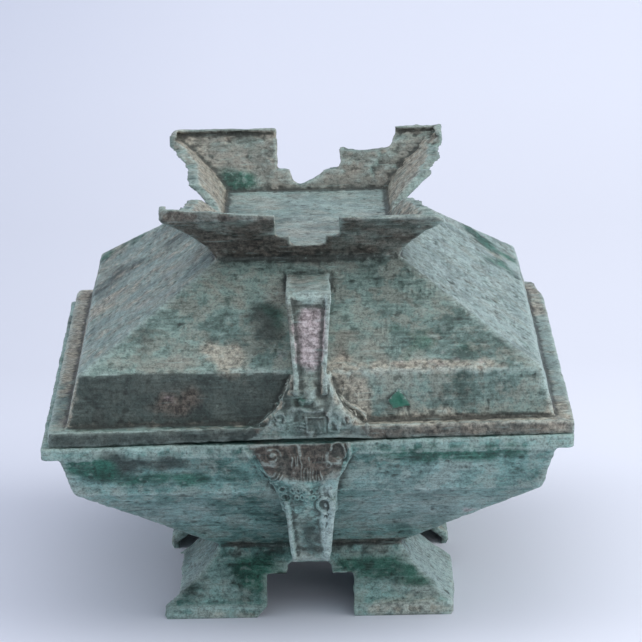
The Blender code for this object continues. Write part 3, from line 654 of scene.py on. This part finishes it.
def lid_patches(points, normals, depth, near):
    """Soft amounts of each colour on the lid, painted light among them."""
    x, y, _ = points.T
    amounts = {}
    band = smoothstep(0.0045, 0.0080, depth) * (1 - smoothstep(0.0245, 0.0275, depth))
    left = 1 - smoothstep(-0.034, -0.006, x)
    rim = 1 - smoothstep(0.0050, 0.0085, depth)
    crown = smoothstep(BASE_DEPTH - 0.002, BASE_DEPTH + 0.003, depth)
    outer_crown = crown * smoothstep(0.0, 0.4, np.maximum(-normals[:, 1] * np.sign(-y),
                                                          normals[:, 0] * np.sign(x)))
    carved = mask_share(points, False, near)
    plain = 1 - carved
    dark = 1.4 * band * near * left + 1.3 * rim * near * left
    dark += 0.70 * blob(points, (-0.0165, -0.11, 0.138), (0.011, 0.03, 0.015))
    dark += 0.34 * near * blob(points, (-0.052, -0.12, 0.134), (0.036, 0.03, 0.016))
    dark += 0.45 * blob(points, (0.030, -0.12, 0.112), (0.016, 0.02, 0.005))
    dark += 0.40 * crown * (y < -0.07) * near * np.where(x > 0.012, 0.10, 0.7)
    dark += 0.6 * band * near * (x < 0)
    dark *= plain
    dark += 0.46 * carved * smoothstep(0.030, 0.020, depth)
    dark += 0.35 * blob(points, (-0.07, -0.12, 0.130), (0.030, 0.03, 0.010))
    amounts["dark"] = dark
    brown = 0.85 * band * near * blob(points, (-0.056, -0.137, 0.107), (0.017, 0.02, 0.011))
    brown += 0.9 * blob(points, (-0.0075, -0.13, 0.137), (0.0035, 0.02, 0.014))
    brown += 0.75 * blob(points, (0.0160, -0.13, 0.126), (0.0045, 0.02, 0.020))
    brown += 0.36 * crown * (y < -0.07) * near * np.where(x > 0.012, 0.55, 1.0) + 0.30 * outer_crown
    brown += 0.20 * crown * (1 - outer_crown) * (y > 0.03)
    brown += 0.45 * blob(points, (0.07, -0.13, 0.106), (0.040, 0.02, 0.007))
    brown += 0.35 * blob(points, (0.06, -0.13, 0.150), (0.030, 0.03, 0.010))
    brown += 0.50 * smoothstep(0.05, 0.12, y) * rim + 0.95 * rim * near * (1 - left) * plain
    amounts["brown"] = brown
    beside_mask = smoothstep(0.024, 0.030, np.abs(x))
    cream = 0.30 * rim * near * (1 - left) * beside_mask
    ledge = smoothstep(0.0040, 0.0060, depth) * rim * smoothstep(0.15, 0.6, normals[:, 2]) * beside_mask
    right_side = smoothstep(0.098, 0.104, x) * smoothstep(-0.13, -0.09, y)
    cream += 0.75 * ledge * (1 - 0.7 * right_side)
    beside_ear = smoothstep(0.038, 0.022, x)
    cream += 0.80 * beside_ear * blob(points, (0.0235, -0.140, 0.106), (0.009, 0.03, 0.010))
    cream += 0.90 * blob(points, (0.052, -0.133, 0.1205), (0.050, 0.010, 0.0036))
    cream += 0.45 * blob(points, (0.055, -0.140, 0.101), (0.036, 0.02, 0.004))
    cream += 0.70 * blob(points, (-0.032, -0.128, 0.123), (0.010, 0.02, 0.009))
    cream += 0.50 * blob(points, (-0.045, -0.128, 0.128), (0.010, 0.02, 0.006))
    cream += 0.9 * blob(points, (0.108, -0.138, 0.102), (0.006, 0.02, 0.010))
    cream += 0.7 * blob(points, (-0.104, -0.13, 0.108), (0.006, 0.03, 0.016))
    cream += 0.14 * rim * (1 - near) + 0.55 * blob(points, (-0.108, 0.0, 0.098), (0.01, 0.09, 0.01))
    cream += 0.40 * smoothstep(0.3, 0.6, -normals[:, 0]) * (1 - crown) * (1 - rim)
    ring_inside = crown * (1 - outer_crown) * smoothstep(0.2, 0.7, np.abs(normals[:, 0]))
    cream += 0.85 * ring_inside * (x < 0) + 0.45 * ring_inside * (x > 0)
    cream += 0.28 * crown * smoothstep(0.5, 0.9, normals[:, 2]) * (depth > BASE_DEPTH + 0.006)
    inside_crown = crown * (1 - outer_crown)
    cream += 0.12 * inside_crown * (y > 0.03) * near + 0.15 * crown * (y < -0.07) * near
    cream += 0.9 * blob(points, (-0.061, 0.098, 0.180), (0.008, 0.012, 0.010))
    cream += 0.8 * blob(points, (0.0150, -0.135, 0.116), (0.008, 0.02, 0.014))
    amounts["cream"] = cream
    rose = 1.6 * blob(points, (0.0020, -0.136, 0.135), (0.0085, 0.015, 0.0135))
    rose += 0.5 * blob(points, (-0.010, -0.13, 0.135), (0.0035, 0.02, 0.012))
    rose += 0.22 * blob(points, (-0.06, -0.137, 0.106), (0.014, 0.02, 0.009))
    rose += 0.45 * blob(points, (0.052, -0.133, 0.122), (0.040, 0.010, 0.004))
    amounts["rose"] = rose
    emerald = 1.1 * blob(points, (-0.031, 0.082, 0.163), (0.014, 0.014, 0.007))
    emerald += 0.50 * blob(points, (-0.003, -0.146, 0.109), (0.008, 0.02, 0.004))
    emerald += 0.40 * blob(points, (0.055, -0.12, 0.128), (0.050, 0.03, 0.012))
    emerald += 0.22 * blob(points, (-0.055, -0.12, 0.127), (0.030, 0.03, 0.006))
    emerald += 0.38 * blob(points, (-0.0150, -0.11, 0.140), (0.010, 0.03, 0.012))
    emerald += 0.45 * blob(points, (0.09, 0.08, 0.125), (0.03, 0.05, 0.015))
    amounts["emerald"] = emerald
    # Pale crust on the side faces, painted stronger on the right-facing side as light from the right.
    sideways = smoothstep(0.3, 0.7, np.abs(normals[:, 0])) * (1 - crown)
    pale = 1.05 * sideways * (x > 0) + 0.45 * sideways * (x < 0)
    pale += 0.40 * blob(points, (-0.0215, -0.150, 0.0975), (0.006, 0.02, 0.002))
    pale += 0.55 * rim * right_side
    pale += 0.6 * blob(points, (0.0025, -0.125, 0.151), (0.010, 0.02, 0.004))
    pale += 0.55 * blob(points, (0.0095, -0.140, 0.114), (0.0035, 0.02, 0.012))
    pale += 0.45 * blob(points, (0.020, -0.146, 0.100), (0.010, 0.02, 0.007))
    pale += 0.45 * crown * smoothstep(0.5, 0.9, normals[:, 2]) * (depth < BASE_DEPTH + 0.004)
    amounts["pale"] = pale
    dust = 0.85 * inside_crown * (y > 0.03) * near + 0.55 * crown * (y < -0.07) * near
    dust += 0.60 * inside_crown * smoothstep(0.2, 0.7, np.abs(normals[:, 0]))
    dust += 0.45 * blob(points, (0.0, -0.04, BASE_DEPTH + JOINT_HEIGHT), (0.05, 0.06, 0.006))
    dust *= 1 - 0.8 * smoothstep(0.2, 0.7, emerald)
    amounts["dust"] = dust
    return amounts


def patina_values(obj, downwards, seed):
    """Where each colour of crust and patina lies, painted light and shade among them, how the surface
    stands, and pattern places.
    """
    mesh = obj.data
    points, normals = read_points(mesh)
    depth = casting_depth(points, downwards)
    near = smoothstep(-0.2, -0.75, normals[:, 1])
    patches = vessel_patches if downwards else lid_patches
    amounts = patches(points, normals, depth, near)
    away = smoothstep(-0.10, 0.03, points[:, 1]) * (1 - near)
    green = 0.55
    if not downwards:
        away = away * (1 - smoothstep(BASE_DEPTH - 0.002, BASE_DEPTH + 0.003, depth))
        green = 0.55 * smoothstep(0.02, 0.11, points[:, 1])
    spread_out = (("emerald", green), ("cream", 0.42), ("brown", 0.38), ("dark", 0.50))
    for index, (name, most) in enumerate(spread_out):
        wide = layered_noise(points, 0.042, seed + 40 + index, 3)
        amounts[name] = amounts[name] + most * away * smoothstep(0.10, 0.60, wide)
    if not downwards:
        chip = malachite_chip(points, near)
        amounts["emerald"] = amounts["emerald"] + 3.0 * chip
        write_value(mesh, "chip", chip)
    sizes = {"brown": 0.007, "cream": 0.006, "emerald": 0.010, "dark": 0.012, "rose": 0.005}
    spread = {}
    for index, (name, size) in enumerate(sizes.items()):
        spread[name] = ragged(points, amounts[name], size, seed + 20 + index)
        write_value(mesh, name, spread[name])
    for name in ("pale", "dust"):
        soft = amounts.get(name, np.zeros(len(points)))
        soft = soft + 0.25 * layered_noise(points, 0.012, seed + 30) * (soft > 0.05)
        write_value(mesh, name, np.clip(soft, 0.0, 1.0))
    # How far the surface stands out or sinks. The material uses it to darken the hollows and lighten the
    # ridges: patina in the hollows and wear on the ridges, together with painted shade in recesses and
    # painted highlights on edges.
    fine = proud_of_surroundings(mesh, points, normals, 3)
    broad = proud_of_surroundings(mesh, points, normals, 14)
    stands = 1300 * fine + 420 * broad
    carved = mask_share(points, downwards, near)
    stands *= 1 + 0.15 * carved
    hushed = 0.75 * np.maximum(spread["dark"], spread["brown"]) * (1 - 0.8 * carved)
    stands = np.where(stands > 0, stands * (1 - hushed), stands)
    write_value(mesh, "proud", np.clip(0.5 + stands, 0.0, 1.0))
    facing_side = np.abs(normals[:, 0]) > np.abs(normals[:, 1])
    write_value(mesh, "along", np.where(facing_side, points[:, 1], points[:, 0]))
    write_value(mesh, "rise", points[:, 2])
    slope = smoothstep(CREASE_DEPTH + 0.001, CREASE_DEPTH + 0.004, depth)
    slope *= 1 - smoothstep(BASE_DEPTH - 0.004, BASE_DEPTH - 0.001, depth)
    shown = smoothstep(-0.05, 0.55, layered_noise(points, 0.018, seed + 31, 3))
    write_value(mesh, "pattern", np.clip(slope * shown * (0.35 if downwards else 0.8), 0.0, 1.0))


class NodeBuilder:
    """Short calls for a material's nodes."""

    def __init__(self, name):
        self.material = bpy.data.materials.new(name)
        self.material.use_nodes = True
        self.tree = self.material.node_tree
        self.shader = self.tree.nodes["Principled BSDF"]
        self.coordinates = self.tree.nodes.new("ShaderNodeTexCoord").outputs["Object"]

    def link(self, source, socket):
        self.tree.links.new(source, socket)

    def stretched(self, scale):
        """Object coordinates stretched by axis."""
        node = self.tree.nodes.new("ShaderNodeMapping")
        node.inputs["Scale"].default_value = scale
        self.link(self.coordinates, node.inputs["Vector"])
        return node.outputs["Vector"]

    def noise(self, scale, detail, roughness=0.6, vector=None, distortion=0.0):
        """Noise with about the given number of features to the metre."""
        node = self.tree.nodes.new("ShaderNodeTexNoise")
        node.inputs["Scale"].default_value = scale
        node.inputs["Detail"].default_value = detail
        node.inputs["Roughness"].default_value = roughness
        node.inputs["Distortion"].default_value = distortion
        self.link(vector or self.coordinates, node.inputs["Vector"])
        return node.outputs["Fac"]

    def ramp(self, source, stops):
        """Grey or colour ramp from a list of (place, value)."""
        node = self.tree.nodes.new("ShaderNodeValToRGB")
        elements = node.color_ramp.elements
        while len(elements) < len(stops):
            elements.new(0.5)
        for element, (place, value) in zip(elements, stops):
            element.position = place
            colour = value if isinstance(value, tuple) else (value, value, value)
            element.color = (*colour, 1.0)
        self.link(source, node.inputs["Fac"])
        return node.outputs["Color"]

    def mask(self, name):
        """A value that the mesh stores."""
        node = self.tree.nodes.new("ShaderNodeAttribute")
        node.attribute_name = name
        return node.outputs["Fac"]

    def maths(self, operation, first, second=None):
        """One step of arithmetic; the second value may be a socket or a number."""
        node = self.tree.nodes.new("ShaderNodeMath")
        node.operation = operation
        self.link(first, node.inputs[0])
        if isinstance(second, (int, float)):
            node.inputs[1].default_value = second
        elif second is not None:
            self.link(second, node.inputs[1])
        return node.outputs[0]

    def mix(self, factor, first, second, blend="MIX"):
        """Mix two colours; each may be a socket or a plain colour."""
        node = self.tree.nodes.new("ShaderNodeMix")
        node.data_type = "RGBA"
        node.blend_type = blend
        if isinstance(factor, float):
            node.inputs["Factor"].default_value = factor
        else:
            self.link(factor, node.inputs["Factor"])
        for socket, value in ((node.inputs[6], first), (node.inputs[7], second)):
            if isinstance(value, tuple):
                socket.default_value = (*value, 1.0)
            else:
                self.link(value, socket)
        return node.outputs[2]


def srgb(red, green, blue):
    """Linear colour of an everyday 0 to 255 colour."""
    values = []
    for channel in (red, green, blue):
        part = channel / 255
        values.append(part / 12.92 if part <= 0.04045 else ((part + 0.055) / 1.055) ** 2.4)
    return tuple(values)


def square_spirals(nodes):
    """Rows of squared spirals, the thunder pattern, as raised lines from 0 to 1."""
    along = nodes.maths("MULTIPLY", nodes.mask("along"), 1 / 0.0098)
    rise = nodes.maths("MULTIPLY", nodes.mask("rise"), 1 / 0.0062)
    row = nodes.maths("FLOOR", rise)
    along = nodes.maths("ADD", along, nodes.maths("MULTIPLY", row, 0.5))
    across = nodes.maths("SUBTRACT", nodes.maths("FRACT", along), 0.5)
    upward = nodes.maths("SUBTRACT", nodes.maths("FRACT", rise), 0.5)
    reach = nodes.maths("MAXIMUM", nodes.maths("ABSOLUTE", across), nodes.maths("ABSOLUTE", upward))
    turn = nodes.maths("MULTIPLY", nodes.maths("ARCTAN2", upward, across), 1 / (2 * math.pi))
    wound = nodes.maths("SUBTRACT", nodes.maths("MULTIPLY", reach, 4.6), turn)
    wave = nodes.maths("ABSOLUTE", nodes.maths("SUBTRACT", nodes.maths("FRACT", wound), 0.5))
    return nodes.ramp(wave, [(0.20, 0.0), (0.32, 1.0)])


def patina_material(name, deep, middle, light, grey):
    """Corroded bronze: mottled greens with crusts of brown, cream, emerald and rose, and painted shade in
    hollows and painted light on ridges and some faces.
    """
    nodes = NodeBuilder(name)
    broad = nodes.noise(26.0, 7.0, 0.64, distortion=0.4)
    patches = nodes.noise(95.0, 7.0, 0.68)
    flecks = nodes.noise(430.0, 5.0, 0.72)
    speckle = nodes.noise(1150.0, 3.0, 0.65)
    streaks = nodes.noise(1.0, 5.0, 0.62, nodes.stretched((75.0, 75.0, 800.0)))
    colour = nodes.ramp(broad, [(0.36, deep), (0.47, middle), (0.57, light), (0.66, grey)])
    colour = nodes.mix(nodes.ramp(patches, [(0.48, 0.0), (0.58, 0.65)]), colour, grey)
    colour = nodes.mix(nodes.ramp(patches, [(0.36, 0.75), (0.46, 0.0)]), colour, deep)
    # Pale patina, with painted light on some faces of the vessel and the lid.
    colour = nodes.mix(nodes.maths("MULTIPLY", nodes.mask("pale"), 0.72), colour, srgb(172, 192, 190))
    by_fleck = nodes.ramp(flecks, [(0.40, 0.0), (0.60, 1.0)])
    by_patch = nodes.ramp(patches, [(0.40, 0.0), (0.60, 1.0)])
    earth = nodes.mix(by_patch, srgb(112, 108, 100), srgb(148, 142, 132))
    colour = nodes.mix(nodes.maths("MULTIPLY", nodes.mask("dust"), 0.75), colour, earth)
    # Of these tones, the dark one holds dark patina and, in places, painted shade.
    tones = [
        ("dark", 0.88, by_patch, srgb(33, 42, 39), srgb(62, 72, 68)),
        ("brown", 0.80, by_fleck, srgb(56, 48, 42), srgb(98, 89, 80)),
        ("cream", 0.72, by_fleck, srgb(132, 125, 113), srgb(184, 177, 160)),
        ("emerald", 0.86, by_patch, srgb(12, 60, 48), srgb(44, 106, 90)),
        ("rose", 0.78, by_fleck, srgb(146, 130, 132), srgb(200, 186, 188)),
    ]
    for mask, strength, spread, low, high in tones:
        tone = nodes.mix(spread, low, high)
        colour = nodes.mix(nodes.maths("MULTIPLY", nodes.mask(mask), strength), colour, tone)
    quiet = nodes.ramp(nodes.mask("dark"), [(0.0, 1.0), (1.0, 0.35)])
    proud = nodes.mask("proud")
    # Dark in the hollows and pale on the ridges: patina and wear, together with painted shade in recesses
    # and painted highlights on edges.
    colour = nodes.mix(nodes.ramp(proud, [(0.05, 0.80), (0.42, 0.0)]), colour, srgb(38, 44, 40))
    colour = nodes.mix(nodes.ramp(proud, [(0.60, 0.0), (0.98, 0.45)]), colour, srgb(164, 182, 176))
    shade = nodes.ramp(flecks, [(0.36, 0.48), (0.49, 0.95), (0.62, 1.0)])
    colour = nodes.mix(0.85, colour, shade, "MULTIPLY")
    glints = nodes.maths("MULTIPLY", nodes.ramp(flecks, [(0.60, 0.0), (0.74, 0.40)]), quiet)
    colour = nodes.mix(glints, colour, srgb(166, 188, 180))
    colour = nodes.mix(0.70, colour, nodes.ramp(speckle, [(0.38, 0.52), (0.52, 1.0)]), "MULTIPLY")
    colour = nodes.mix(0.60, colour, nodes.ramp(streaks, [(0.38, 0.60), (0.52, 1.0)]), "MULTIPLY")
    glints = nodes.maths("MULTIPLY", nodes.ramp(streaks, [(0.58, 0.0), (0.72, 0.28)]), quiet)
    colour = nodes.mix(glints, colour, srgb(156, 184, 178))
    colour = nodes.mix(nodes.maths("MULTIPLY", nodes.mask("chip"), 0.75), colour, srgb(26, 92, 74))
    lines = square_spirals(nodes)
    shown = nodes.mask("pattern")
    sunk = nodes.mix(lines, (0.62, 0.62, 0.62), (1.06, 1.06, 1.06))
    drawn = nodes.mix(1.0, colour, sunk, "MULTIPLY")
    colour = nodes.mix(nodes.maths("MULTIPLY", shown, 0.55), colour, drawn)
    nodes.link(colour, nodes.shader.inputs["Base Color"])
    nodes.link(nodes.ramp(patches, [(0.35, 0.50), (0.65, 0.82)]), nodes.shader.inputs["Roughness"])
    nodes.shader.inputs["Metallic"].default_value = 0.05
    nodes.shader.inputs["Specular IOR Level"].default_value = 0.35
    height = nodes.mix(0.45, nodes.noise(650.0, 5.0, 0.72), streaks)
    height = nodes.mix(nodes.maths("MULTIPLY", shown, 0.35), height, lines)
    bump = nodes.tree.nodes.new("ShaderNodeBump")
    bump.inputs["Strength"].default_value = 0.75
    bump.inputs["Distance"].default_value = 0.0008
    nodes.link(height, bump.inputs["Height"])
    nodes.link(bump.outputs["Normal"], nodes.shader.inputs["Normal"])
    return nodes.material


def dress(node, name, downwards, seed, material):
    """Build one casting's fine skin and let it stand for its solid."""
    obj = remeshed(bpy.data.objects[node], name)
    refine_masks(obj, downwards)
    weather(obj, downwards, seed)
    thin_out(obj)
    patina_values(obj, downwards, seed)
    obj.data.materials.clear()
    obj.data.materials.append(material)
    obj.data.shade_smooth()
    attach(obj, "root")
    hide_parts(node)


def main():
    bpy.context.scene.view_settings.view_transform = "Standard"
    add_camera()
    add_stage()
    add_world()
    middle = (0.0, 0.0, 0.1)
    add_area_light("key_right", (2.6, -0.5, 1.9), middle, 3.4, 82.0, (1.0, 0.99, 0.97))
    add_area_light("low_front", (0.9, -2.9, 0.50), middle, 1.8, 23.0, (0.96, 0.98, 1.0))
    add_area_light("top", (-0.3, 0.5, 3.0), middle, 4.0, 44.0, (0.97, 0.98, 1.0))
    add_area_light("left", (-2.5, -0.5, 1.5), middle, 2.0, 15.0, (0.97, 0.98, 1.0))
    vessel_patina = patina_material("vessel_patina", srgb(54, 90, 84), srgb(98, 136, 130),
                                    srgb(124, 164, 158), srgb(138, 152, 144))
    lid_patina = patina_material("lid_patina", srgb(62, 82, 76), srgb(100, 124, 118),
                                 srgb(124, 146, 138), srgb(134, 138, 128))
    dress("vessel", "vessel_casting", True, 100, vessel_patina)
    dress("lid", "lid_casting", False, 500, lid_patina)


main()
